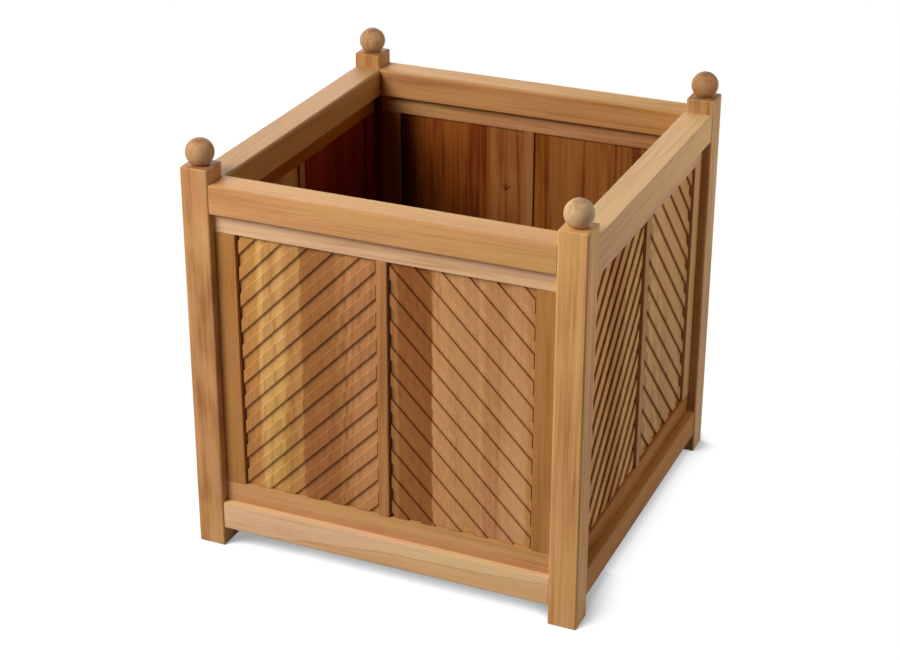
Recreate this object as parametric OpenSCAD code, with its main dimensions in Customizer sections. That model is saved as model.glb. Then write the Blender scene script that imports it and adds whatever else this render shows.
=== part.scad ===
// Versailles planter: a square garden box of four ball-topped posts, eight rails and
// four framed sides. Each side holds two raised panels whose channels make a chevron.
// The origin is on the ground at the middle of the box. +Z is up and the front faces -Y.

/* [Overall] */
// Width over the outer faces of the posts, left to right
body_w = 600; // [500:5:900]
// Depth over the outer faces of the posts, front to back
body_d = 600; // [500:5:900]
// Height of the posts, from the ground to their flat tops
post_h = 600; // [520:5:900]

/* [Posts and finials] */
// Side of a square post
post_w = 43; // [42:0.5:60]
// Radius of the eased upright edges of a post
post_ease = 3; // [1:0.5:6]
// Chamfer round the top and the foot of a post
post_chamfer = 1.5; // [0.5:0.5:4]
// Diameter of the turned ball on each post
ball_d = 41; // [30:0.5:60]
// Diameter of the flat on which a ball stands
ball_seat_d = 20; // [14:0.5:28]
// Diameter of the spigot turned below the ball
spigot_d = 12; // [8:0.5:14]
// Length of the spigot in the post
spigot_l = 16; // [10:0.5:16]

/* [Rails] */
// Height of a top or bottom rail
rail_h = 44; // [38:0.5:60]
// Step from a post's outer face back to the rails
rail_setback = 1.5; // [0.5:0.5:6]
// Step from a post's inner face on to the inner faces of the rails, which are mitred there
rail_lip = 3.5; // [1:0.5:12]
// Radius of the eased long edges of a rail
rail_ease = 3; // [1:0.5:6]
// Drop from the top of the posts to the top of the top rails
rail_drop = 21.5; // [18:0.5:60]
// Clear height under the bottom rails
foot_h = 29.5; // [10:0.5:90]
// Length of the tenons at the ends of the rails
tenon_l = 26; // [15:0.5:30]
// Thickness of the tenons
tenon_t = 15; // [8:0.5:18]

/* [Side frames] */
// Thickness of the frame round the panels
frame_t = 20; // [19:0.5:22]
// Step from a post's outer face back to the frame
frame_setback = 13.5; // [11:0.5:15]
// Width of a stile that shows beside its post
stile_show = 32; // [20:0.5:60]
// Width of the frame's head that shows under the top rail
head_show = 29.5; // [20:0.5:60]
// Width of the frame's sill that shows above the bottom rail
sill_show = 31.5; // [20:0.5:60]
// Width of the muntin between the two panels
muntin_w = 16.5; // [14:0.5:40]
// Radius of the eased long edges of the frame members
frame_ease = 1; // [0.5:0.25:2]
// Depth to which a frame is housed in posts and rails
housing = 6; // [4:0.5:6]

/* [Panels] */
// Thickness of a panel, from its raised field to its back
panel_t = 12.5; // [11.5:0.5:13]
// Step from the face of the frame back to the raised field of the panels
panel_setback = 4; // [2:0.5:4.5]
// Thickness of the tongue round a panel, flush with its back
tongue_t = 7; // [6:0.5:7.5]
// Depth to which a tongue is housed in its frame
panel_housing = 5; // [3:0.5:5.5]
// Gap between a raised field and the uprights beside it, for the wood to swell
field_gap = 2.5; // [1:0.5:5]
// Gap between a raised field and the head or the sill
field_end_gap = 0.5; // [0.5:0.25:3]
// Distance between two channels, square to them
channel_pitch = 28.5; // [24:0.5:50]
// Slope of the channels above the horizontal
channel_slope = 45.5; // [30:0.5:60]
// Width of a channel between its walls
channel_w = 13.5; // [8:0.5:14]
// Depth of a channel below the raised field
channel_depth = 3.4; // [2.4:0.2:3.8]
// Chamfer along the edges of the strips between the channels
strip_chamfer = 0.8; // [0.4:0.1:1.5]
// First channel's distance from the low inner corner, on the panels beside the front left post
channel_start_a = 5.5; // [0:0.5:28]
// First channel's distance from the low inner corner, on the panels beside the front right post
channel_start_b = 0; // [0:0.5:28]

/* [Floor] */
// Number of slats in the floor
slat_count = 6; // [4:1:9]
// Gap between two slats, and beside the first and the last
slat_gap = 8; // [5:0.5:20]
// Thickness of a slat
slat_t = 12; // [9:0.5:20]
// Radius of the eased long edges of a slat
slat_ease = 2; // [1:0.5:4]
// Side of the square ledgers under the slats
ledger_w = 20; // [16:0.5:30]
// Radius of the eased long edges of a ledger
ledger_ease = 1; // [0.5:0.25:3]
// Step from the underside of the bottom rails up to the ledgers
ledger_lift = 2; // [1:0.5:10]
// Diameter of a screw's shank
screw_d = 4; // [3:0.5:5]
// Diameter of a screw's head
screw_head_d = 8; // [7:0.5:10]
// Depth to which the slats' screws hold in a ledger
slat_screw_hold = 13; // [8:0.5:13]
// Depth to which the ledgers' screws hold in a rail
ledger_screw_hold = 14; // [8:0.5:20]

/* [Fits] */
// Clearance on each face of a joint that is housed
fit = 0.2; // [0.1:0.05:0.3]
// Wood left between two hollows that lie beside each other
web = 2; // [1.5:0.5:3]
// Clearance at the ends of the slats and the ledgers
end_gap = 1; // [0.5:0.25:3]

/* [Hidden] */
$fn = 48;
SIDES = ["front", "right", "back", "left"];
// The low-X and the high-X end of each side, as named on the whole planter
ENDS = [["left", "right"], ["front", "back"], ["right", "left"], ["back", "front"]];
CORNERS = ["front_left", "front_right", "back_right", "back_left"];
LEVELS = ["bottom", "top"];
LEDGERS = ["front", "back"];

TEAK_POST = [0.72, 0.50, 0.31];
TEAK_RAIL = [0.76, 0.56, 0.36];
TEAK_FRAME = [0.70, 0.49, 0.30];
TEAK_PANEL = [0.66, 0.45, 0.25];
TEAK_FLOOR = [0.58, 0.40, 0.23];
STEEL = [0.70, 0.70, 0.72];

// A cut reaches this far past a face that it opens
over = 1;

// Levels
top_rail_z = post_h - rail_drop - rail_h;
bottom_rail_z = foot_h;
// The frame's outline between the rails, with what the rails house
frame_bottom_z = bottom_rail_z + rail_h - housing + fit;
frame_top_z = top_rail_z + housing - fit;
// The opening that the panels fill
opening_bottom_z = bottom_rail_z + rail_h + sill_show;
opening_top_z = top_rail_z - head_show;
opening_h = opening_top_z - opening_bottom_z;
// The bottoms of the grooves in the sill and in the head
groove_bottom_z = opening_bottom_z - panel_housing;
groove_top_z = opening_top_z + panel_housing;

// Depths, inwards from the outer face of the posts
rail_back = post_w + rail_lip;
rail_t = rail_back - rail_setback;
frame_back = frame_setback + frame_t;
panel_face = frame_setback + panel_setback;
panel_back = panel_face + panel_t;
tongue_face = panel_back - tongue_t;

// Tenons of the rails: two rails meet in a post, one tenon above the other
tenon_h = (rail_h - housing - 4 * web) / 2;
tenon_y = post_w / 2 - tenon_t / 2;

// Floor
ledger_z = bottom_rail_z + ledger_lift;
slat_z = ledger_z + ledger_w;
floor_w = body_w - 2 * rail_back;
floor_d = body_d - 2 * rail_back;
slat_w = (floor_w - (slat_count + 1) * slat_gap) / slat_count;
slat_l = floor_d - 2 * end_gap;
ledger_l = floor_w - 2 * end_gap;
// A countersunk head is half its diameter less half the shank deep
head_h = (screw_head_d - screw_d) / 2;

// Length of side s over the outer faces of its posts
function side_length(s) = s % 2 == 0 ? body_w : body_d;
// Distance from the middle of the planter to the outer face of side s
function side_reach(s) = s % 2 == 0 ? body_d / 2 : body_w / 2;
// Half of the clear length between the posts of side s
function bay(s) = side_length(s) / 2 - post_w;
// Half of the clear length between the stiles of side s
function sight(s) = bay(s) - stile_show;
// Level of the underside of a tenon on side s, on a rail whose underside is at z.
// The housing of the frame is in the rail's underside on a top rail.
function tenon_z(s, z, level) = z + (level == 1 ? housing : 0) + web + (s % 2) * (tenon_h + web);
// Level of the underside of a rail
function rail_z(level) = level == 1 ? top_rail_z : bottom_rail_z;

// Puts a child, drawn with X along the side and Y inwards, on side s of the planter
module on_side(s) {
    rotate([0, 0, 90 * s])
        translate([0, -side_reach(s), 0])
            children();
}

// A rectangle with round corners, its middle on the origin
module eased_rect(w, h, r) {
    square([w - 2 * r, h], center = true);
    square([w, h - 2 * r], center = true);
    for (x = [-1, 1], y = [-1, 1])
        translate([x * (w / 2 - r), y * (h / 2 - r)])
            circle(r);
}

// A bar along X with eased long edges, from y and z upwards, its middle at x = 0
module bar_x(length, y, t, z, h, r) {
    translate([-length / 2, y + t / 2, z + h / 2])
        rotate([90, 0, 90])
            linear_extrude(length)
                eased_rect(t, h, r);
}

// A rectangle with its four corners cut off, its middle on the origin
module chamfered_rect(w, h, c) {
    polygon([
        [-w / 2 + c, -h / 2], [w / 2 - c, -h / 2], [w / 2, -h / 2 + c], [w / 2, h / 2 - c],
        [w / 2 - c, h / 2], [-w / 2 + c, h / 2], [-w / 2, h / 2 - c], [-w / 2, -h / 2 + c]
    ]);
}

// The tenon at the high-X end of a rail, or its mortise with clear > 0
module tenon(s, level, clear = 0) {
    translate([bay(s) - over, tenon_y - clear, tenon_z(s, rail_z(level), level) - clear])
        cube([tenon_l + over + clear, tenon_t + 2 * clear, tenon_h + 2 * clear]);
}

// The hollows that side s cuts in the post at its high-X end
module post_hollows(s) {
    for (level = [0, 1])
        tenon(s, level, fit);
    translate([bay(s) - over, frame_setback - fit, frame_bottom_z - fit])
        cube([housing + over, frame_t + 2 * fit, frame_top_z - frame_bottom_z + 2 * fit]);
}

// The post at the high-X end of the front, drawn in the frame of the planter
module post_blank() {
    x = body_w / 2 - post_w / 2;
    y = -body_d / 2 + post_w / 2;
    intersection() {
        translate([x, y, 0])
            linear_extrude(post_h)
                eased_rect(post_w, post_w, post_ease);
        translate([x - post_w / 2, y, post_h / 2])
            rotate([90, 0, 90])
                linear_extrude(post_w)
                    chamfered_rect(post_w, post_h, post_chamfer);
        translate([x, y + post_w / 2, post_h / 2])
            rotate([90, 0, 0])
                linear_extrude(post_w)
                    chamfered_rect(post_w, post_h, post_chamfer);
    }
}

// Mirrors a child from the front right corner to corner c
module on_corner(c) {
    mirror([c == 0 || c == 3 ? 1 : 0, 0, 0])
        mirror([0, c >= 2 ? 1 : 0, 0])
            children();
}

// Square post with an eased foot and top, a bore for its finial,
// mortises for two rails at each level and grooves for two side frames
module post(c) {
    color(TEAK_POST)
        on_corner(c)
            difference() {
                post_blank();
                translate([body_w / 2 - post_w / 2, -body_d / 2 + post_w / 2, post_h - spigot_l - fit])
                    cylinder(d = spigot_d + 2 * fit, h = spigot_l + fit + over);
                on_side(0)
                    post_hollows(0);
                on_side(1)
                    mirror([1, 0, 0])
                        post_hollows(1);
            }
}

// Turned ball on a small flat, with the spigot that is glued into the post
module finial(c) {
    lift = sqrt(pow(ball_d / 2, 2) - pow(ball_seat_d / 2, 2));
    color(TEAK_POST)
        on_corner(c)
            translate([body_w / 2 - post_w / 2, -body_d / 2 + post_w / 2, post_h]) {
                difference() {
                    translate([0, 0, lift])
                        sphere(d = ball_d, $fn = 64);
                    translate([-ball_d, -ball_d, -2 * ball_d])
                        cube([2 * ball_d, 2 * ball_d, 2 * ball_d]);
                }
                translate([0, 0, -spigot_l])
                    cylinder(d = spigot_d, h = spigot_l + over);
            }
}

// Plan of a rail between its shoulders, cut off at 45 degrees where it stands past the posts
module rail_plan(s) {
    half = bay(s);
    lip = rail_lip + over;
    polygon([
        [-half, 0], [half, 0], [half, post_w], [half - lip, post_w + lip],
        [-half + lip, post_w + lip], [-half, post_w]
    ]);
}

// Rail between two posts, tenoned into them and grooved for the side frame.
// The front and the back bottom rails are bored for the screws of the ledgers.
module rail(s, level) {
    z = rail_z(level);
    color(TEAK_RAIL)
        difference() {
            on_side(s) {
                intersection() {
                    bar_x(side_length(s), rail_setback, rail_t, z, rail_h, rail_ease);
                    translate([0, 0, z - over])
                        linear_extrude(rail_h + 2 * over)
                            rail_plan(s);
                }
                for (end = [0, 1])
                    mirror([end, 0, 0])
                        tenon(s, level);
            }
            on_side(s)
                frame_groove(s, level);
            if (level == 0 && s % 2 == 0)
                ledger_screw_row(s / 2, fit);
        }
}

// The groove that takes the frame, in the rail's underside or upper face
module frame_groove(s, level) {
    z = level == 1 ? top_rail_z - over : bottom_rail_z + rail_h - housing;
    translate([-bay(s) - over, frame_setback - fit, z])
        cube([2 * bay(s) + 2 * over, frame_t + 2 * fit, housing + over]);
}

// The groove that takes the tongues of the panels, from x1 to x2 and z1 to z2
module panel_groove(x1, x2, z1, z2) {
    translate([x1, tongue_face - fit, z1])
        cube([x2 - x1, tongue_t + 2 * fit, z2 - z1]);
}

// Head or sill of a side frame, full length, grooved for panels, stiles and muntin
module frame_rail(s, z, h, groove_z) {
    half = bay(s) + housing - fit;
    color(TEAK_FRAME)
        on_side(s)
            difference() {
                bar_x(2 * half, frame_setback, frame_t, z, h, frame_ease);
                panel_groove(-half - over, half + over, groove_z, groove_z + panel_housing + over);
            }
}

module frame_head(s) {
    frame_rail(s, opening_top_z, frame_top_z - opening_top_z, opening_top_z - over);
}

module frame_sill(s) {
    frame_rail(s, frame_bottom_z, opening_bottom_z - frame_bottom_z, groove_bottom_z);
}

// An upright of a side frame between the sill and the head, from x on, with eased long edges
module upright(x, w) {
    translate([x + w / 2, frame_setback + frame_t / 2, opening_bottom_z])
        linear_extrude(opening_h)
            eased_rect(w, frame_t, frame_ease);
}

// The stub tenons at both ends of an upright, from x1 to x2
module stub_tenons(x1, x2) {
    translate([x1, tongue_face, groove_bottom_z + fit])
        cube([x2 - x1, tongue_t, groove_top_z - groove_bottom_z - 2 * fit]);
}

// Stile at the high-X end of side s, housed in the post
module stile_blank(s) {
    x1 = sight(s);
    x2 = bay(s) + housing - fit;
    difference() {
        union() {
            upright(x1, x2 - x1);
            stub_tenons(x1 + frame_ease, x2 - frame_ease);
        }
        panel_groove(x1 - over, x1 + panel_housing, groove_bottom_z, groove_top_z);
    }
}

module stile(s, end) {
    color(TEAK_FRAME)
        on_side(s)
            mirror([1 - end, 0, 0])
                stile_blank(s);
}

// Slim upright between the two panels, grooved on both edges
module muntin(s) {
    inner = muntin_w / 2 - panel_housing;
    color(TEAK_FRAME)
        on_side(s)
            difference() {
                union() {
                    upright(-muntin_w / 2, muntin_w);
                    stub_tenons(-inner, inner);
                }
                for (end = [0, 1])
                    mirror([end, 0, 0])
                        panel_groove(inner, muntin_w, groove_bottom_z, groove_top_z);
            }
}

// Section of a channel across its length, flat at the bottom, with chamfers at the face.
// The face of the panel is at y = 0 and the wood lies at y > 0.
module channel_section() {
    half = channel_w / 2;
    lip = half + strip_chamfer;
    polygon([
        [-lip, -over], [lip, -over], [lip, 0], [half, strip_chamfer], [half, channel_depth],
        [-half, channel_depth], [-half, strip_chamfer], [-lip, 0]
    ]);
}

// The panel on the high-X half of side s: a tongue all round that is housed in the frame and
// a raised field that stands clear of it. Its channels fall away from the muntin.
module panel_blank(s, first) {
    edge = panel_housing - fit;
    x1 = muntin_w / 2;
    x2 = sight(s);
    // Distance across the channels from the low inner corner to past the high outer one
    span = (x2 - x1) * sin(channel_slope) + opening_h * cos(channel_slope) + channel_w;
    // The cuts end this far past the panel's farthest corner
    reach = x2 - x1 + opening_h;
    translate([x1 - edge, tongue_face, opening_bottom_z - edge])
        cube([x2 - x1 + 2 * edge, tongue_t, opening_h + 2 * edge]);
    difference() {
        translate([x1 + field_gap, panel_face, opening_bottom_z + field_end_gap])
            cube([x2 - x1 - 2 * field_gap, panel_t - tongue_t / 2, opening_h - 2 * field_end_gap]);
        translate([x1, panel_face, opening_bottom_z])
            rotate([0, channel_slope, 0])
                for (z = [first - channel_pitch : channel_pitch : span])
                    translate([-reach, 0, z])
                        rotate([0, 90, 0])
                            linear_extrude(2 * reach)
                                channel_section();
    }
}

// Panel whose channels rise towards the muntin. Those beside the same post start alike,
// and so do those beside the post across from it.
module panel(s, end) {
    color(TEAK_PANEL)
        on_side(s)
            mirror([1 - end, 0, 0])
                panel_blank(s, (s + end) % 2 == 0 ? channel_start_a : channel_start_b);
}

// Places of the slats' middles across the planter
function slat_x(i) = -floor_w / 2 + slat_gap + slat_w / 2 + (i - 1) * (slat_w + slat_gap);
// Places of the ledgers' screws, each below the gap after slat i
function ledger_screw_x(i) = slat_x(i) + (slat_w + slat_gap) / 2;

// A countersunk screw along Z, its head up and the top of its head at z = 0.
// Its hollow, with clear > 0, also opens the face above.
module screw(length, clear = 0) {
    translate([0, 0, -length - clear])
        cylinder(d = screw_d + 2 * clear, h = length + clear);
    translate([0, 0, -head_h])
        cylinder(d1 = screw_d + 2 * clear, d2 = screw_head_d + 2 * clear, h = head_h);
    if (clear > 0)
        cylinder(d = screw_head_d + 2 * clear, h = over);
}

// The row of screws that hold the ledger on the front or the back rail
module ledger_screw_row(back, clear = 0) {
    for (i = [1 : slat_count - 1])
        mirror([0, back, 0])
            translate([ledger_screw_x(i), -floor_d / 2 + ledger_w, ledger_z + ledger_w / 2])
                rotate([-90, 0, 0])
                    screw(ledger_w + ledger_screw_hold, clear);
}

// The two screws that hold slat i on the ledgers
module slat_screw_pair(i, clear = 0) {
    for (back = [0, 1])
        mirror([0, back, 0])
            translate([slat_x(i), -floor_d / 2 + ledger_w / 2, slat_z + slat_t])
                screw(slat_t + slat_screw_hold, clear);
}

// Square batten on the inner face of the front or the back bottom rail
module ledger(back) {
    color(TEAK_FLOOR)
        difference() {
            mirror([0, back, 0])
                bar_x(ledger_l, -floor_d / 2, ledger_w, ledger_z, ledger_w, ledger_ease);
            ledger_screw_row(back, fit);
            for (i = [1 : slat_count])
                slat_screw_pair(i, fit);
        }
}

// Floor slat across the two ledgers, with a drainage gap on each side
module floor_slat(i) {
    color(TEAK_FLOOR)
        difference() {
            translate([slat_x(i), slat_l / 2, slat_z + slat_t / 2])
                rotate([90, 0, 0])
                    linear_extrude(slat_l)
                        eased_rect(slat_w, slat_t, slat_ease);
            slat_screw_pair(i, fit);
        }
}

module ledger_screws() {
    color(STEEL)
        for (back = [0, 1])
            ledger_screw_row(back);
}

module slat_screws() {
    color(STEEL)
        for (i = [1 : slat_count])
            slat_screw_pair(i);
}

for (c = [0 : 3])
    post(c);
for (c = [0 : 3])
    finial(c);
for (level = [0, 1], s = [0 : 3])
    rail(s, level);
for (s = [0 : 3])
    frame_head(s);
for (s = [0 : 3])
    frame_sill(s);
for (s = [0 : 3], end = [0, 1])
    stile(s, end);
for (s = [0 : 3])
    muntin(s);
for (s = [0 : 3], end = [0, 1])
    panel(s, end);
for (back = [0, 1])
    ledger(back);
for (i = [1 : slat_count])
    floor_slat(i);
ledger_screws();
slat_screws();
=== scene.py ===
"""Looks of the versailles planter: procedural teak on every piece, studio floor, lamps and camera.

Every length is in metres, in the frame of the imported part: +Z up, the front faces -Y and the
origin is on the ground at the middle of the box.
"""
import math
import random
import bpy
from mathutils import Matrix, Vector


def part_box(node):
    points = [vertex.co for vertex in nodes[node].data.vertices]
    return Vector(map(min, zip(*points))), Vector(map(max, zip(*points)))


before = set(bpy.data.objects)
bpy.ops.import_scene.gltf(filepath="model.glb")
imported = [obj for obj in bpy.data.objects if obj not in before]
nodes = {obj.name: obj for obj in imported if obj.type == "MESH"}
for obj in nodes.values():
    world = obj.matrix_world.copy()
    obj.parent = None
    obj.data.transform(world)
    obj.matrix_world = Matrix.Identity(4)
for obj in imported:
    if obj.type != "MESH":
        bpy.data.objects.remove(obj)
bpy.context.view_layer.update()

# ---------------------------------------------------------------- wood tones
# Each tone is the linear colour of plain wood, apart from the painted light and shade marked below;
# lighter and darker grain is worked out from it.
HONEY = (0.54, 0.28, 0.11)
AMBER = (0.45, 0.21, 0.060)
SILL = (0.60, 0.31, 0.11)
FLOOR_WOOD = (0.40, 0.22, 0.10)

# The keys of the tables are names or starts of names: a piece takes the entry with the longest
# key that its name starts with
TONES = {
    "post": (0.57, 0.28, 0.10),
    # Painted light: post_front_left is darker and post_front_right lighter, evening out how the key lamp
    # falls across the front
    "post_front_left": (0.55, 0.27, 0.097),
    "post_front_right": (0.68, 0.35, 0.12),
    "post_back_right": (0.56, 0.31, 0.12),
    "finial_front_left": (0.51, 0.27, 0.13),
    "finial_front_right": (0.65, 0.40, 0.21),
    "finial_back_right": (0.47, 0.24, 0.097),
    "finial_back_left": (0.52, 0.30, 0.13),
    "rail_top_front": (0.63, 0.33, 0.12),
    "rail_top_right": (0.73, 0.45, 0.22),
    "rail_top_back": (0.59, 0.31, 0.10),
    "rail_top_left": (0.52, 0.28, 0.11),
    "rail_bottom": (0.66, 0.37, 0.15),
    "rail_bottom_front": (0.75, 0.47, 0.23),
    # Painted shade: the bottom rail and the sill on the right side are darker where little light reaches
    # low down on that side
    "rail_bottom_right": (0.49, 0.21, 0.052),
    "frame_head": (0.66, 0.36, 0.16),
    "frame_head_front": (0.73, 0.44, 0.24),
    "frame_head_right": (0.60, 0.32, 0.15),
    "frame_sill": SILL,
    "frame_sill_front": (0.54, 0.27, 0.096),
    # Painted shade, as for the right bottom rail
    "frame_sill_right": (0.37, 0.14, 0.029),
    "stile": (0.46, 0.21, 0.060),
    "stile_front_left": (0.43, 0.19, 0.051),
    "stile_front_right": (0.44, 0.20, 0.056),
    "stile_right_back": (0.54, 0.28, 0.11),
    "muntin": (0.49, 0.22, 0.079),
    "muntin_right": (0.42, 0.19, 0.062),
    "floor_slat": FLOOR_WOOD,
    "ledger": FLOOR_WOOD,
}

# Painted shade: darker, redder tones of the faces that look into the planter, near black on the shaded
# left side and in the back left corner
INNER_SHADE_TONES = {
    "": (0.30, 0.10, 0.025),
    "frame_head_back": (0.51, 0.26, 0.098),
    "frame_head_left": (0.26, 0.068, 0.006),
    "muntin_back": (0.35, 0.14, 0.042),
    "rail_top_left": (0.44, 0.20, 0.050),
    "rail_top_back": (0.54, 0.25, 0.085),
    "panel_left": (0.15, 0.014, 0.003),
    "panel_left_front": (0.40, 0.16, 0.040),
    "muntin_left": (0.32, 0.12, 0.030),
    "stile_left": (0.15, 0.014, 0.003),
    "post_back_left": (0.12, 0.010, 0.002),
    "post_back_right": (0.15, 0.038, 0.004),
}
# Pieces whose inner faces take such painted shade; the others are one tone all round
SHADED_INSIDE = ("panel", "muntin", "stile", "frame", "post", "rail_top_left", "rail_top_back")

# Boards of a panel, along +X or +Y: the first one's tone, then for each next one where it starts,
# the width over which the tone turns, and its own tone
BOARDS = {
    "panel_front_left": (
        (0.50, 0.23, 0.062),
        (-0.196, 0.006, (0.69, 0.38, 0.13)), (-0.187, 0.004, (0.61, 0.34, 0.10)),
        (-0.155, 0.010, (0.49, 0.24, 0.069)), (-0.128, 0.004, (0.33, 0.13, 0.035)),
        (-0.072, 0.010, (0.41, 0.18, 0.052)), (-0.057, 0.010, (0.49, 0.23, 0.075))),
    "panel_front_right": (
        (0.39, 0.16, 0.048),
        (0.022, 0.008, (0.28, 0.10, 0.022)), (0.0735, 0.004, (0.57, 0.27, 0.11)),
        (0.102, 0.010, (0.53, 0.26, 0.098)), (0.142, 0.006, (0.59, 0.30, 0.12)),
        (0.150, 0.006, (0.50, 0.23, 0.084)), (0.174, 0.006, (0.57, 0.29, 0.11)),
        (0.214, 0.006, (0.50, 0.23, 0.075))),
    "panel_right_front": (
        (0.62, 0.32, 0.082),
        (-0.150, 0.020, (0.45, 0.19, 0.041)), (-0.120, 0.010, (0.46, 0.20, 0.045)),
        (-0.080, 0.006, (0.60, 0.32, 0.096))),
    "panel_right_back": (
        (0.40, 0.18, 0.044),
        (0.038, 0.006, (0.58, 0.30, 0.091)), (0.100, 0.010, (0.52, 0.26, 0.076)),
        (0.198, 0.006, (0.48, 0.24, 0.069))),
    "panel_back_right": (HONEY, (0.034, 0.003, AMBER), (0.118, 0.003, SILL)),
    "panel_back_left": ((0.36, 0.15, 0.050), (-0.150, 0.003, SILL), (-0.068, 0.003, AMBER)),
    "panel_left_back": (AMBER, (0.110, 0.003, SILL)),
    "panel_left_front": (HONEY, (-0.130, 0.003, AMBER)),
}
# The same painted shade for the inner faces of the panels that are seen from above; on the back left
# panel it is the left side's shadow, darkest in the corner
INNER_SHADE_BOARDS = {
    "panel_back_left": (
        (0.042, 0.004, 0.002),
        (-0.200, 0.030, (0.28, 0.073, 0.008)), (-0.068, 0.003, (0.30, 0.10, 0.021))),
    "panel_back_right": ((0.27, 0.080, 0.009), (0.034, 0.003, (0.29, 0.099, 0.017))),
}
# A turn up to this width is a glue line, and a wider one lies within a board
SHARP_JOINT = 0.005

# How strongly the figure of the wood shows, and how much of it is cloudy rather than straight
FIGURES = {
    "post": (1.2, 0.3),
    "post_front_left": (1.1, 1.1),
    "rail": (0.55, 0.2),
    "rail_top_back": (1.0, 0.3),
    "frame": (1.0, 0.3),
    "frame_sill": (1.5, 0.4),
    "stile": (0.8, 0.2),
    "muntin": (0.9, 0.3),
    "panel": (0.8, 0.2),
    "finial": (0.9, 0.5),
    "floor_slat": (1.0, 0.3),
    "ledger": (1.0, 0.3),
}
# Strength of the figure on inner faces that differ from the rest of their piece
INNER_FIGURES = {"panel_back": 2.5, "panel_left": 2.5}

# Oil left on the surface: how strongly each piece's outer and inner faces shine
GLOSS = {
    "": (0.14, 0.14),
    "rail_bottom_right": (0.045, 0.045),
    "frame_sill_right": (0.05, 0.05),
    "panel_left": (0.14, 0.04),
    "muntin_left": (0.14, 0.04),
    "stile_left": (0.14, 0.04),
    "frame_head_left": (0.14, 0.04),
    "post_back_left": (0.14, 0.04),
}

# ---------------------------------------------------------------- tints that multiply the wood
DARK_GRAIN = (0.55, 0.40, 0.28)
LIGHT_GRAIN = (1.18, 1.29, 1.46)
GOLDEN = (1.01, 1.02, 0.93)
ROSY = (1.02, 0.96, 1.03)
PORE = (0.72, 0.65, 0.60)
# Painted shade on a panel's tongue, down in the gap to its frame, and painted light on the floors of its
# channels
TONGUE_SHADE = (0.50, 0.42, 0.35)
CHANNEL_FLOOR_LIGHT = (1.05, 1.07, 1.10)
# Painted shade on eased edges, which dims the highlight that their rounding catches; on the posts a
# painted pale sheen
EDGE_LIGHT_PAINT = {"": (0.93, 0.92, 0.91), "post": (1.0, 1.06, 1.15), "rail_bottom": (0.80, 0.78, 0.74)}
# End grain drinks the oil and is darker
END_GRAIN = {"": (0.72, 0.68, 0.65), "post_front_right": (0.92, 0.92, 0.90)}
# Painted shade: upright faces browner than the top of their piece, standing in for the sheen that only
# the top takes
UPRIGHT_SHADE = {"rail_top_right": (0.94, 0.89, 0.78)}
# Walls of the channels that face up, and down: painted shade, and on the front left panel a painted pale
# highlight on the walls that face up
CHANNEL_WALL_LIGHT = {
    "panel": ((0.72, 0.64, 0.56), (0.80, 0.72, 0.62)),
    "panel_front_left": ((0.97, 1.05, 1.22), (0.90, 0.80, 0.65)),
}

# Growth lines that cross a face: axes along and across the piece, places on the line, tints
# before the line and beyond it, and how dark the line is
GROWTH_LINES = {
    "rail_bottom_front": (
        "X", "Z",
        ((-0.30, 0.016), (-0.19, 0.031), (-0.08, 0.044), (0.03, 0.053), (0.14, 0.056), (0.30, 0.067)),
        (0.97, 0.92, 0.84), (1.02, 1.05, 1.10), 0.20),
    "rail_top_right": (
        "Y", "X",
        ((-0.30, 0.236), (-0.18, 0.245), (0.00, 0.270), (0.08, 0.283), (0.18, 0.284), (0.30, 0.279)),
        (1.0, 1.0, 1.0), (0.96, 0.98, 0.90), 0.16),
}
GROWTH_TINT = (1.05, 0.95, 0.85)
# How far a growth line wobbles, half the width over which the wood changes at it, and how far
# from its middle it is full and ends
GROWTH_WOBBLE = 0.004
GROWTH_TURN = 0.0015
GROWTH_FULL, GROWTH_END = 0.0004, 0.0014

# Knots of a panel: centre and radius
KNOTS = {"panel_back_left": ((-0.039, 0.0, 0.404), 0.0045)}
KNOT_HALO = (1.10, 1.18, 1.25)
KNOT_FOLD = (0.38, 0.30, 0.26)
KNOT_CORE = (0.62, 0.52, 0.45)
KNOT_RAGGED = 0.8
FOLD_SLOPE = 0.9

# ---------------------------------------------------------------- depths read from the frame
_, RAIL_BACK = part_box("rail_top_front")
PANEL_FACE, PANEL_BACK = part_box("panel_front_left")
# Faces nearer than this to the middle of the planter, and below its top, look into it
INNER_REACH = {"rail": 0.0006 - RAIL_BACK.y, "": 0.0035 - PANEL_BACK.y}
INNER_TOP = RAIL_BACK.z - 0.0045
# The floors of a panel's channels are nearer to the middle than this, and its tongue than the next
CHANNEL_REACH = -PANEL_FACE.y - 0.0022
TONGUE_REACH = -PANEL_FACE.y - 0.0050


def entry(table, name, default=None):
    """The entry of a table with the longest key that name starts with."""
    keys = [k for k in table if name.startswith(k)]
    return table[max(keys, key=len)] if keys else default


# ---------------------------------------------------------------- node helpers
def rgba(colour):
    return (colour[0], colour[1], colour[2], 1.0)


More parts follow.
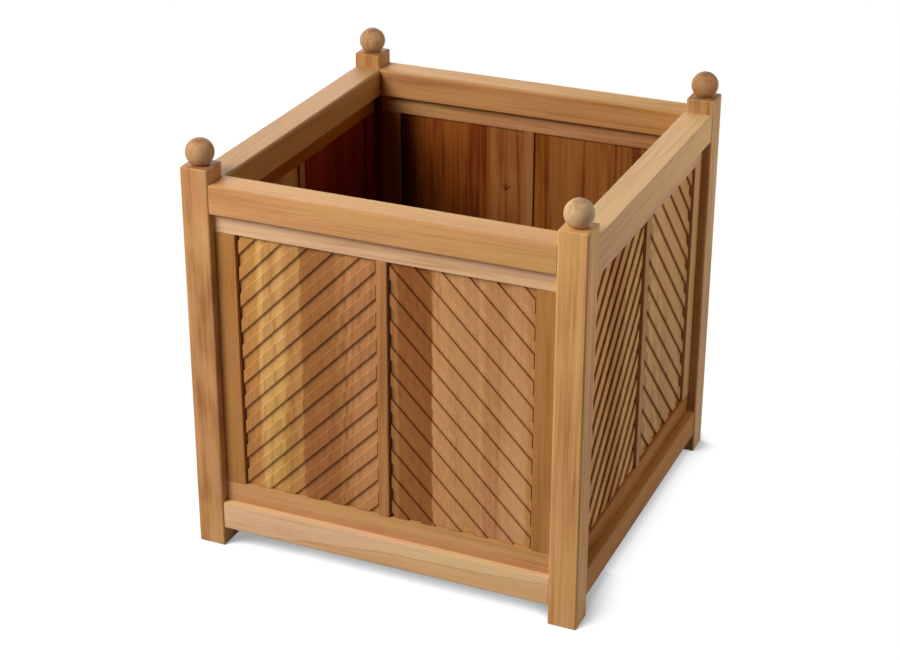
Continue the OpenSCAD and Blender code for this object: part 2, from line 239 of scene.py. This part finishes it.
class Net:
    """Short hand for building a node tree."""

    def __init__(self, tree):
        self.tree = tree

    def add(self, kind, *inputs, out=0, **settings):
        """Adds a node, sets its settings, then its inputs in order; None leaves one as it is."""
        made = self.tree.nodes.new(kind)
        for name, value in settings.items():
            setattr(made, name, value)
        for socket, value in zip(made.inputs, inputs):
            self.feed(socket, value)
        return made.outputs[out] if out is not None else made

    def feed(self, socket, value):
        if value is None:
            return
        if isinstance(value, bpy.types.NodeSocket):
            self.tree.links.new(value, socket)
        else:
            socket.default_value = value

    def math(self, operation, a, b=None, c=None, clamp=False):
        return self.add("ShaderNodeMath", a, b, c, operation=operation, use_clamp=clamp)

    def vector(self, operation, a, b=None):
        out = 1 if operation in ("DOT_PRODUCT", "LENGTH") else 0
        return self.add("ShaderNodeVectorMath", a, b, operation=operation, out=out)

    def noise(self, vector, scale, detail=2.0, roughness=0.5, out=0):
        made = self.add("ShaderNodeTexNoise", out=None)
        self.feed(made.inputs["Vector"], vector)
        made.inputs["Scale"].default_value = scale
        made.inputs["Detail"].default_value = detail
        made.inputs["Roughness"].default_value = roughness
        return made.outputs[out]

    def grain_noise(self, vector, cells, detail=2.0, roughness=0.5, out=0):
        """Noise with so many cells per metre across the grain and along it."""
        across, along = cells
        stretched = self.vector("MULTIPLY", vector, (across, across, along))
        return self.noise(stretched, 1, detail, roughness, out)

    def centred(self, value):
        return self.math("SUBTRACT", value, 0.5)

    def span(self, value, low, high, to_low=0.0, to_high=1.0):
        """Maps value from low..high to to_low..to_high, smooth at both ends."""
        made = self.add("ShaderNodeMapRange", out=None, interpolation_type="SMOOTHSTEP")
        for name, given in (
            ("Value", value), ("From Min", low), ("From Max", high),
            ("To Min", to_low), ("To Max", to_high),
        ):
            self.feed(made.inputs[name], given)
        return made.outputs["Result"]

    def near(self, value, full, none):
        """1 up to full, 0 from none on."""
        return self.span(value, full, none, 1.0, 0.0)

    def mix(self, factor, a, b, blend="MIX"):
        made = self.add("ShaderNodeMix", out=None, data_type="RGBA", blend_type=blend)
        colours = [s for s in made.inputs if s.type == "RGBA"]
        self.feed(made.inputs[0], factor)
        self.feed(colours[0], a)
        self.feed(colours[1], b)
        return [s for s in made.outputs if s.type == "RGBA"][0]

    def times(self, colour, tint):
        """Colour multiplied by a tint."""
        return self.mix(1.0, colour, rgba(tint), "MULTIPLY")

    def tinted(self, share, colour, tint):
        """Colour multiplied by tint where share is 1."""
        return self.mix(share, colour, self.times(colour, tint))

    def combine(self, x, y, z):
        return self.add("ShaderNodeCombineXYZ", x, y, z)

    def separate(self, vector):
        return self.add("ShaderNodeSeparateXYZ", vector, out=None).outputs

    def bump(self, height, strength, distance, normal=None):
        made = self.add("ShaderNodeBump", out=None)
        made.inputs["Strength"].default_value = strength
        made.inputs["Distance"].default_value = distance
        self.feed(made.inputs["Height"], height)
        self.feed(made.inputs["Normal"], normal)
        return made.outputs["Normal"]


def new_material(name):
    """An empty node material and its net."""
    made = bpy.data.materials.new(name)
    made.use_nodes = True
    made.node_tree.nodes.clear()
    return made, Net(made.node_tree)


def surface(net, shader, kind="ShaderNodeOutputMaterial"):
    """Ends a net with its output node."""
    result = net.add(kind, out=None)
    net.feed(result.inputs["Surface"], shader)


# ---------------------------------------------------------------- the grain of teak
# Layers of the grain: cells per metre across and along it, and how far each one shifts the level
# between the dark end of the grain, 0, and the light end, 1
STREAKS = ((60, 1.8), 0.60)
BANDS = ((170, 4), 0.75)
PATCHES = ((14, 3), 0.85)
CLOUDS = ((30, 12), 0.90)
FINE_GRAIN = ((420, 10), 0.42)
FIBRES = ((1100, 26), 0.22)
LATEWOOD_SHIFT = -0.19
MIDDLE_LEVEL = 0.52

# Growth rings: how many a metre, how they wander slowly and ripple along the board
RINGS_PER_METRE = 120.0
WANDER_CELLS, WANDER = (7, 1.6), 0.045
RIPPLE_CELLS, RIPPLE = (60, 9), 0.0030
LATEWOOD_POWER = 2.6
LATEWOOD_END = 0.93
# Most rings are faint; here and there a group of them shows
SHOWN_CELLS, SHOWN_FROM, SHOWN_TO = (20, 1.2), 0.45, 0.68

HUE_CELLS = (26, 2.5)
PORE_CELLS, PORE_FROM, PORE_TO = (900, 42), 0.64, 0.78
PLAIN_ROUGHNESS, FINE_ROUGHNESS, PORE_ROUGHNESS = 0.46, 0.18, 0.15
PORE_DEPTH = -0.8


def growth_rings(net, vector):
    """Place within the growth ring, 0 where it starts to 1 where it ends."""
    drift = net.grain_noise(vector, WANDER_CELLS, out=1)
    wander = net.vector("MULTIPLY", net.vector("SUBTRACT", drift, (0.5,) * 3), (WANDER, WANDER, 0.0))
    small = net.grain_noise(vector, RIPPLE_CELLS, roughness=0.6, out=1)
    ripple = net.vector("MULTIPLY", net.vector("SUBTRACT", small, (0.5,) * 3), (RIPPLE, RIPPLE, 0.0))
    parts = net.separate(net.vector("ADD", net.vector("ADD", vector, wander), ripple))
    radius = net.vector("LENGTH", net.combine(parts["X"], parts["Y"], 0.0))
    return net.math("FRACT", net.math("MULTIPLY", radius, RINGS_PER_METRE))


def latewood(net, vector, ring):
    """The dark end of each ring, where rings show."""
    dark = net.math("POWER", ring, LATEWOOD_POWER)
    dark = net.math("MULTIPLY", dark, net.near(ring, LATEWOOD_END, 1.0))
    shown = net.span(net.grain_noise(vector, SHOWN_CELLS, detail=1), SHOWN_FROM, SHOWN_TO)
    return net.math("MULTIPLY", dark, shown)


def grain_level(net, given, ring, fine, fibre):
    """How light the grain is at a place, from 0 to 1."""
    vector = given["Vector"]
    figure = 0.0
    for cells, share in (STREAKS, BANDS, PATCHES):
        layer = net.centred(net.grain_noise(vector, cells))
        figure = net.math("MULTIPLY_ADD", layer, share, figure)
    cells, share = CLOUDS
    cloud = net.math("MULTIPLY", net.centred(net.grain_noise(vector, cells)), given["Mottle"])
    figure = net.math("MULTIPLY_ADD", cloud, share, figure)
    level = net.math("MULTIPLY_ADD", figure, given["Figure"], MIDDLE_LEVEL)
    level = net.math("MULTIPLY_ADD", net.centred(fine), FINE_GRAIN[1], level)
    level = net.math("MULTIPLY_ADD", net.centred(fibre), FIBRES[1], level)
    dark_rings = latewood(net, vector, ring)
    return net.math("MULTIPLY_ADD", dark_rings, LATEWOOD_SHIFT, level, clamp=True)


def grain_colour(net, given, level):
    """The tone, more golden or more rosy in bands, made darker and lighter by the level."""
    hue = net.grain_noise(given["Vector"], HUE_CELLS)
    rosy, golden = net.times(given["Tone"], ROSY), net.times(given["Tone"], GOLDEN)
    tone = net.mix(net.span(hue, 0.36, 0.64), rosy, golden)
    dark, light = net.times(tone, DARK_GRAIN), net.times(tone, LIGHT_GRAIN)
    lower = net.mix(net.add("ShaderNodeMapRange", level, 0.0, 0.5), dark, tone)
    return net.mix(net.add("ShaderNodeMapRange", level, 0.5, 1.0), lower, light)


def teak_group():
    """The grain of teak. Z of the input runs along the grain, in metres."""
    tree = bpy.data.node_groups.new("teak_grain", "ShaderNodeTree")
    for name, direction, kind in (
        ("Vector", "INPUT", "Vector"), ("Tone", "INPUT", "Color"),
        ("Figure", "INPUT", "Float"), ("Mottle", "INPUT", "Float"),
        ("Color", "OUTPUT", "Color"), ("Roughness", "OUTPUT", "Float"), ("Height", "OUTPUT", "Float"),
    ):
        tree.interface.new_socket(name, in_out=direction, socket_type="NodeSocket" + kind)
    net = Net(tree)
    given = net.add("NodeGroupInput", out=None).outputs
    vector = given["Vector"]
    ring = growth_rings(net, vector)
    fine = net.grain_noise(vector, FINE_GRAIN[0], roughness=0.55)
    fibre = net.grain_noise(vector, FIBRES[0])
    colour = grain_colour(net, given, grain_level(net, given, ring, fine, fibre))

    # Open pores: short dark dashes along the grain, denser where a ring starts
    pore = net.span(net.grain_noise(vector, PORE_CELLS, detail=1), PORE_FROM, PORE_TO)
    pores = net.math("MULTIPLY", pore, net.span(ring, 0.0, 0.5, 0.8, 0.35))
    colour = net.tinted(pores, colour, PORE)

    rough = net.math("MULTIPLY_ADD", fine, FINE_ROUGHNESS, PLAIN_ROUGHNESS)
    rough = net.math("MULTIPLY_ADD", pores, PORE_ROUGHNESS, rough)
    height = net.math("MULTIPLY_ADD", fibre, 0.5, net.math("MULTIPLY", fine, 0.5))
    height = net.math("MULTIPLY_ADD", pores, PORE_DEPTH, height)
    result = net.add("NodeGroupOutput", out=None)
    net.feed(result.inputs["Color"], colour)
    net.feed(result.inputs["Roughness"], rough)
    net.feed(result.inputs["Height"], height)
    return tree


GRAIN = teak_group()
# Turns of the object's axes that lay the grain along X, Y or Z
GRAIN_TURN = {"X": (0.0, -math.pi / 2, 0.0), "Y": (math.pi / 2, 0.0, 0.0), "Z": (0.0, 0.0, 0.0)}
# How far the next board of a panel is from the last one in the log
NEXT_BOARD = (0.137, 0.093, 1.7)


def cut_from_log(net, place, axis, pick):
    """Coordinates of the grain for one piece, cut from its own place in a log."""
    # Where the heart of the log lies from the board, and how far the board is out of line with it
    angle = pick.uniform(0, 2 * math.pi)
    away = pick.uniform(0.07, 0.16)
    lean = pick.uniform(-0.025, 0.025)
    turn = GRAIN_TURN[axis]
    turn = (turn[0] + lean, turn[1] + pick.uniform(-0.02, 0.02), turn[2])
    mapped = net.add("ShaderNodeMapping", place, None, turn, vector_type="POINT", out=0)
    heart = (away * math.cos(angle), away * math.sin(angle), pick.uniform(-5, 5))
    return net.vector("ADD", mapped, heart)


def board_choice(net, place, first, *others):
    """Tone across a panel, and the number of glue lines up to a place."""
    tone = rgba(first)
    count = 0.0
    for start, width, own in others:
        turned = net.span(place, start - width / 2, start + width / 2)
        tone = net.mix(turned, tone, rgba(own))
        if width <= SHARP_JOINT:
            count = net.math("ADD", count, net.math("GREATER_THAN", place, start))
    return tone, count


def reach(net, place):
    """Distance from the planter's upright middle, square as the planter is."""
    parts = net.separate(place)
    return net.math("MAXIMUM", net.math("ABSOLUTE", parts["X"]), net.math("ABSOLUTE", parts["Y"]))


def faces_inwards(net, name, place):
    """1 on the faces that look into the planter."""
    close = net.math("LESS_THAN", reach(net, place), entry(INNER_REACH, name))
    below = net.math("LESS_THAN", net.separate(place)["Z"], INNER_TOP)
    return net.math("MULTIPLY", close, below)


def by_side(net, socket, inside, outer, inner):
    """Gives a socket one value on a piece's outer faces and another on those inside the planter."""
    if outer == inner:
        socket.default_value = outer
    else:
        net.feed(socket, net.math("MULTIPLY_ADD", inside, inner - outer, outer))


def grain_of(net, name, place, vector, inside, across):
    """Outputs of the grain group for one piece, with its tones, its boards and the painted shade of its
    inner faces.
    """
    inner_shade = rgba(entry(INNER_SHADE_TONES, name))
    if name in BOARDS:
        here = net.separate(place)[across]
        tone, count = board_choice(net, here, *BOARDS[name])
        if name in INNER_SHADE_BOARDS:
            inner_shade, _ = board_choice(net, here, *INNER_SHADE_BOARDS[name])
        shift = net.combine(*[net.math("MULTIPLY", count, step) for step in NEXT_BOARD])
        vector = net.vector("ADD", vector, shift)
    else:
        tone = rgba(entry(TONES, name))
    # Painted shade on the faces that look into the planter
    if name.startswith(SHADED_INSIDE):
        tone = net.mix(inside, tone, inner_shade)
    figure, mottle = entry(FIGURES, name)
    grain = net.add("ShaderNodeGroup", out=None, node_tree=GRAIN)
    net.feed(grain.inputs["Vector"], vector)
    net.feed(grain.inputs["Tone"], tone)
    by_side(net, grain.inputs["Figure"], inside, figure, entry(INNER_FIGURES, name, figure))
    grain.inputs["Mottle"].default_value = mottle
    return grain.outputs


# ---------------------------------------------------------------- marks on the wood
# The largest part of the normal on an eased edge, and on a face that is square to an axis
EASED, SQUARE = 0.86, 0.98
# The normal's part along the grain where end grain begins and is full
END_FROM, END_FULL = 0.75, 0.97
# The normal's part along Z up to which the painted shade of upright faces is full, and where it ends
UPRIGHT_FULL, UPRIGHT_END = 0.3, 0.6
# The bevel node rounds edges by EDGE_WIDTH; the painted edge shade, a painted sheen on the posts, grows
# as its normal turns from the face's own
EDGE_WIDTH = 0.0014
EDGE_FROM, EDGE_FULL, EDGE_PAINT_SHARE = 0.995, 0.86, 0.5


def eased(net, normal):
    """1 on eased edges and slopes, which are square to no axis of the object."""
    parts = [net.math("ABSOLUTE", part) for part in net.separate(normal)]
    most = net.math("MAXIMUM", net.math("MAXIMUM", parts[0], parts[1]), parts[2])
    return net.span(most, SQUARE, EASED)


def channels(net, place, inside, colour):
    """Paints light on the floors of a panel's channels, and shade on its tongue, down in the gap to the
    frame.
    """
    depth = reach(net, place)
    outer = net.math("SUBTRACT", 1.0, inside)
    floor = net.math("MULTIPLY", outer, net.math("LESS_THAN", depth, CHANNEL_REACH))
    colour = net.tinted(floor, colour, CHANNEL_FLOOR_LIGHT)
    tongue_shade = net.math("MULTIPLY", outer, net.math("LESS_THAN", depth, TONGUE_REACH))
    return net.tinted(tongue_shade, colour, TONGUE_SHADE)


def channel_walls(net, name, normal, colour):
    """Paints shade on the sloping walls of a panel's channels, and on the front left panel a pale
    highlight on those that face up; walls that face up are tinted apart from the others.
    """
    up = net.span(net.separate(normal)["Z"], -0.1, 0.1)
    facing_up, facing_down = entry(CHANNEL_WALL_LIGHT, name)
    tint = net.mix(up, rgba(facing_down), rgba(facing_up))
    return net.mix(eased(net, normal), colour, net.mix(1.0, colour, tint, "MULTIPLY"))


def growth_line(net, place, colour, along, across, points, before, beyond, dark):
    """Lays one wavy growth line across a face, between wood of two tints."""
    parts = net.separate(place)
    low, high = points[0][0], points[-1][0]
    share = net.add("ShaderNodeMapRange", parts[along], low, high, 0.0, 1.0)
    curve = net.add("ShaderNodeFloatCurve", 1.0, share, out=None)
    dots = curve.mapping.curves[0].points
    dots[0].location = (0.0, points[0][1])
    dots[-1].location = (1.0, points[-1][1])
    for u, v in points[1:-1]:
        dots.new((u - low) / (high - low), v)
    curve.mapping.update()
    wobble = net.centred(net.noise(place, 28))
    off = net.math("SUBTRACT", parts[across], curve.outputs[0])
    off = net.math("MULTIPLY_ADD", wobble, GROWTH_WOBBLE, off)
    past = net.span(off, -GROWTH_TURN, GROWTH_TURN)
    colour = net.mix(past, net.times(colour, before), net.times(colour, beyond))
    close = net.near(net.math("ABSOLUTE", off), GROWTH_FULL, GROWTH_END)
    return net.tinted(close, colour, [(1.0 - dark) * part for part in GROWTH_TINT])


def knot(net, place, colour, centre, radius):
    """A small knot with paler wood round it and a dark fold under it."""
    away = net.vector("SUBTRACT", place, centre)
    parts = net.separate(away)
    ragged = net.math("MULTIPLY", net.centred(net.noise(place, 160)), radius * KNOT_RAGGED)
    # Knots are twice as high as wide
    off = net.vector("LENGTH", net.vector("MULTIPLY", away, (1.0, 0.0, 0.5)))
    off = net.math("ADD", off, ragged)
    colour = net.tinted(net.near(off, radius * 2, radius * 6), colour, KNOT_HALO)
    # The fold is a V whose point is one radius under the middle
    aside = net.math("ABSOLUTE", parts["X"])
    fold = net.math("MULTIPLY_ADD", aside, -FOLD_SLOPE, net.math("ADD", parts["Z"], radius))
    fold = net.math("ABSOLUTE", net.math("ADD", fold, ragged))
    fold = net.near(fold, radius * 0.1, radius * 0.5)
    fold = net.math("MULTIPLY", fold, net.near(aside, radius * 1.2, radius * 2.4))
    colour = net.tinted(fold, colour, KNOT_FOLD)
    return net.tinted(net.near(off, radius * 0.5, radius), colour, KNOT_CORE)


def teak(name, axis, seed, across=None):
    """The teak of one piece. Its grain runs along axis; a panel's boards follow each other across."""
    made, net = new_material("teak_" + name)
    coords = net.add("ShaderNodeTexCoord", out=None).outputs
    place, normal = coords["Object"], coords["Normal"]
    vector = cut_from_log(net, place, axis, random.Random(seed))
    inside = faces_inwards(net, name, place)
    grain = grain_of(net, name, place, vector, inside, across)
    colour = grain["Color"]

    is_panel = name.startswith("panel")
    if is_panel:
        colour = channels(net, place, inside, colour)
    if name in GROWTH_LINES:
        colour = growth_line(net, place, colour, *GROWTH_LINES[name])
    if name in KNOTS:
        colour = knot(net, place, colour, *KNOTS[name])
    # Painted shade on the upright faces
    if name in UPRIGHT_SHADE:
        level = net.math("ABSOLUTE", net.separate(normal)["Z"])
        colour = net.tinted(net.near(level, UPRIGHT_FULL, UPRIGHT_END), colour, UPRIGHT_SHADE[name])
    end = net.span(net.math("ABSOLUTE", net.separate(normal)[axis]), END_FROM, END_FULL)
    colour = net.tinted(end, colour, entry(END_GRAIN, name))

    # Painted shade on eased edges, and a painted sheen on the posts' edges
    bevel = net.add("ShaderNodeBevel", EDGE_WIDTH, samples=6)
    face = net.add("ShaderNodeNewGeometry", out=None).outputs["Normal"]
    alike = net.vector("DOT_PRODUCT", bevel, face)
    edge_paint = net.math("MULTIPLY", net.span(alike, EDGE_FROM, EDGE_FULL), EDGE_PAINT_SHARE)
    if is_panel:
        colour = channel_walls(net, name, normal, colour)
    elif not name.startswith("finial"):
        edge_paint = net.math("MAXIMUM", edge_paint, eased(net, normal))
    colour = net.tinted(edge_paint, colour, entry(EDGE_LIGHT_PAINT, name))

    shader = net.add("ShaderNodeBsdfPrincipled", out=None)
    net.feed(shader.inputs["Base Color"], colour)
    net.feed(shader.inputs["Roughness"], grain["Roughness"])
    relief = net.bump(grain["Height"], strength=0.35, distance=0.0004, normal=bevel)
    net.feed(shader.inputs["Normal"], relief)
    by_side(net, shader.inputs["Specular IOR Level"], inside, *entry(GLOSS, name))
    surface(net, shader.outputs["BSDF"])
    return made


STEEL = (0.62, 0.62, 0.64)
TARNISH = 0.82


def brushed_steel():
    """Stainless screws, with the fine marks left by turning their heads."""
    made, net = new_material("brushed_steel")
    place = net.add("ShaderNodeTexCoord", out=None).outputs["Object"]
    marks = net.noise(place, 900, detail=3, roughness=0.6)
    tone = net.mix(net.noise(place, 160), rgba([c * TARNISH for c in STEEL]), rgba(STEEL))
    shader = net.add("ShaderNodeBsdfPrincipled", out=None)
    shader.inputs["Metallic"].default_value = 1.0
    net.feed(shader.inputs["Base Color"], tone)
    net.feed(shader.inputs["Roughness"], net.math("MULTIPLY_ADD", marks, 0.25, 0.22))
    net.feed(shader.inputs["Normal"], net.bump(marks, strength=0.2, distance=0.0001))
    surface(net, shader.outputs["BSDF"])
    return made


# ---------------------------------------------------------------- the pieces
def long_axes(name):
    """The axes of a piece's box, the longest first."""
    low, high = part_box(name)
    size = high - low
    return sorted("XYZ", key=lambda axis: size["XYZ".index(axis)], reverse=True)


def finish_piece(name, material):
    slots = nodes[name].data.materials
    slots.clear()
    slots.append(material)


# The first seed of the pieces' random draws
FIRST_SEED = 11
steel = brushed_steel()
for seed, name in enumerate(sorted(nodes), FIRST_SEED):
    if name.endswith("screws"):
        finish_piece(name, steel)
    elif name.startswith("panel"):
        across = [axis for axis in long_axes(name) if axis != "Z"][0]
        finish_piece(name, teak(name, "Z", seed, across))
    elif name.startswith(("finial", "post")):
        finish_piece(name, teak(name, "Z", seed))
    else:
        finish_piece(name, teak(name, long_axes(name)[0], seed))

# ---------------------------------------------------------------- studio
WHITE = (1.0, 1.0, 1.0, 1.0)
FLOOR_SIZE = 24.0
FLOOR_CELLS = 8
PAPER = ((0.44, 0.44, 0.45), (0.46, 0.46, 0.47))
PAPER_SEEN = (0.03, 0.03, 0.031)
# The planter's shade on the floor: how far it reaches, the side its light comes from, and the
# openness at which it is darkest and at which it ends
SHADE_REACH = 0.12
SHADE_LIGHT = (-0.6, -1.0, 1.0)
SHADE_FULL, SHADE_END, SHADE_DARKEST = 0.40, 0.70, 0.35

# Colour of the world's light, its strengths, and the height of a unit vector at which it ends
SKY = (0.97, 0.985, 1.0)
LIGHT_FROM_LEFT = 0.10
LIGHT_FROM_BEHIND = 0.16
LIGHT_TOP = 0.7

# Azimuth (0 in front, growing towards +X) and elevation in degrees, distance from LAMP_TARGET,
# width, height, power in watts
LAMPS = {
    "key": (-34, 38, 3.2, 1.65, 1.65, 104.0),
    "fill": (112, 22, 1.6, 0.9, 0.7, 8.7),
    "back": (220, 28, 2.2, 1.8, 0.8, 22.0),
}
LAMP_TARGET = Vector((0.0, 0.0, 0.35))


def seen_directly(net):
    """1 for rays that look at a thing straight, in a mirror or through glass."""
    path = net.add("ShaderNodeLightPath", out=None).outputs
    seen = net.math("MAXIMUM", path["Is Camera Ray"], path["Is Glossy Ray"])
    return net.math("MAXIMUM", seen, path["Is Transmission Ray"])


def floor_material():
    """White paper where it is seen, greyer where the planter keeps off the light."""
    made, net = new_material("studio_floor")
    place = net.add("ShaderNodeTexCoord", out=None).outputs["Object"]
    paper = net.mix(net.noise(place, 3.0), rgba(PAPER[0]), rgba(PAPER[1]))
    unseen = net.add("ShaderNodeBsdfDiffuse", paper)
    light_side = net.combine(*Vector(SHADE_LIGHT).normalized())
    openness = net.add(
        "ShaderNodeAmbientOcclusion", WHITE, SHADE_REACH, light_side, samples=48, out=1)
    glow = net.span(openness, SHADE_FULL, SHADE_END, SHADE_DARKEST, 1.0)
    lift = net.add("ShaderNodeEmission", WHITE, glow)
    seen = net.add("ShaderNodeAddShader", net.add("ShaderNodeBsdfDiffuse", rgba(PAPER_SEEN)), lift)
    surface(net, net.add("ShaderNodeMixShader", seen_directly(net), unseen, seen))
    return made


def studio_floor():
    half = FLOOR_SIZE / 2
    step = FLOOR_SIZE / FLOOR_CELLS
    count = FLOOR_CELLS + 1
    points = [(-half + i * step, -half + j * step, 0.0) for j in range(count) for i in range(count)]
    corners = [j * count + i for j in range(FLOOR_CELLS) for i in range(FLOOR_CELLS)]
    faces = [(k, k + 1, k + count + 1, k + count) for k in corners]
    mesh = bpy.data.meshes.new("studio_floor")
    mesh.from_pydata(points, [], faces)
    floor = bpy.data.objects.new("studio_floor", mesh)
    bpy.context.scene.collection.objects.link(floor)
    mesh.materials.append(floor_material())


def studio_world():
    """White where it is seen; a weak light from the left and from behind, low down."""
    world = bpy.data.worlds.new("studio")
    bpy.context.scene.world = world
    world.use_nodes = True
    world.node_tree.nodes.clear()
    net = Net(world.node_tree)
    place = net.add("ShaderNodeTexCoord", out=None).outputs["Generated"]
    parts = net.separate(place)
    left = net.span(parts["X"], -1.0, 0.0, LIGHT_FROM_LEFT, 0.0)
    behind = net.span(parts["Y"], 0.0, 1.0, 0.0, LIGHT_FROM_BEHIND)
    low_down = net.near(parts["Z"], 0.0, LIGHT_TOP)
    lit = net.math("MULTIPLY", net.math("ADD", left, behind), low_down)
    strength = net.mix(seen_directly(net), lit, WHITE)
    surface(net, net.add("ShaderNodeBackground", rgba(SKY), strength), "ShaderNodeOutputWorld")


def direction(azimuth, elevation):
    """Unit vector towards an azimuth and elevation in degrees; azimuth 0 is in front."""
    a, e = math.radians(azimuth), math.radians(elevation)
    return Vector((math.sin(a) * math.cos(e), -math.cos(a) * math.cos(e), math.sin(e)))


def place_and_aim(obj, target, away, distance):
    """Sets a lamp or camera at a distance from target, towards away, looking back at it."""
    bpy.context.scene.collection.objects.link(obj)
    obj.location = target + away * distance
    obj.rotation_euler = (-away).to_track_quat("-Z", "Y").to_euler()


def softbox(name, azimuth, elevation, distance, wide, high, power):
    """A rectangular lamp."""
    lamp = bpy.data.lights.new(name, "AREA")
    lamp.shape = "RECTANGLE"
    lamp.size = wide
    lamp.size_y = high
    lamp.energy = power
    place_and_aim(bpy.data.objects.new(name, lamp), LAMP_TARGET, direction(azimuth, elevation), distance)


studio_floor()
studio_world()
for name, values in LAMPS.items():
    softbox(name, *values)

# ---------------------------------------------------------------- camera
# The photograph's own: angles in degrees, focal length and shift in its pixels
PHOTO_WIDTH = 900.0
SENSOR = 36.0
CAMERA_AZIMUTH = 23.66
CAMERA_ELEVATION = 24.25
CAMERA_DISTANCE = 2.9784
CAMERA_TARGET = Vector((-0.0351, -0.0152, 0.3637))
FOCAL_PIXELS = 1984.7
SHIFT_PIXELS = (12.5, -53.2)

camera_data = bpy.data.cameras.new("camera")
camera_data.sensor_fit = "HORIZONTAL"
camera_data.sensor_width = SENSOR
camera_data.lens = FOCAL_PIXELS / PHOTO_WIDTH * SENSOR
camera_data.shift_x = SHIFT_PIXELS[0] / PHOTO_WIDTH
camera_data.shift_y = SHIFT_PIXELS[1] / PHOTO_WIDTH
camera = bpy.data.objects.new("camera", camera_data)
place_and_aim(camera, CAMERA_TARGET, direction(CAMERA_AZIMUTH, CAMERA_ELEVATION), CAMERA_DISTANCE)
bpy.context.scene.camera = camera
bpy.context.scene.view_settings.view_transform = "Standard"
